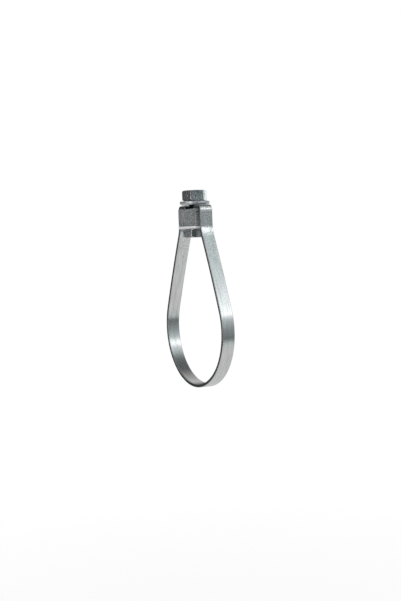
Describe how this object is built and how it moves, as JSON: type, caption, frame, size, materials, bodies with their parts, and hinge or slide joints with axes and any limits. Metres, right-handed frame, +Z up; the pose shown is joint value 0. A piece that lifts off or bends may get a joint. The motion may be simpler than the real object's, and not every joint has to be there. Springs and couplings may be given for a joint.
{
  "type": "pear-shaped sprinkler pipe clamp",
  "caption": "Pear-shaped steel strip loop that hangs a pipe, closed at its neck by a bolt, a spacer block, a base plate, a washer and a nut.",
  "frame": {"origin": "on the bolt's axis, at the top face of the washer, where a bracket is gripped under the nut", "axes": "+Z up along the bolt, the pipe along Y, the loop's plane in XZ"},
  "size_m": [0.0904, 0.0228, 0.1517],
  "materials": {
    "band_zinc": "pre-galvanised strip, satin with fine rolling lines",
    "block_zinc": "zinc plated, dull and mottled",
    "plate_zinc": "bright zinc plated",
    "fastener_zinc": "zinc plated, with forging marks"
  },
  "bodies": {
    "bolt": {"hex_bolt": "fastener_zinc", "top_washer": "plate_zinc"},
    "loop": {"loop_band": "band_zinc", "clamp_block": "block_zinc", "base_plate": "plate_zinc"},
    "nut": {"hex_nut": "fastener_zinc"}
  },
  "joints": [
    {"name": "loop_swivel", "type": "hinge", "parent": "bolt", "child": "loop", "pos_m": [0, 0, -0.0125], "axis": [0, 0, 1], "continuous": true},
    {"name": "nut_turn", "type": "hinge", "parent": "bolt", "child": "nut", "pos_m": [0, 0, 0.0043], "axis": [0, 0, 1], "continuous": true}
  ]
}
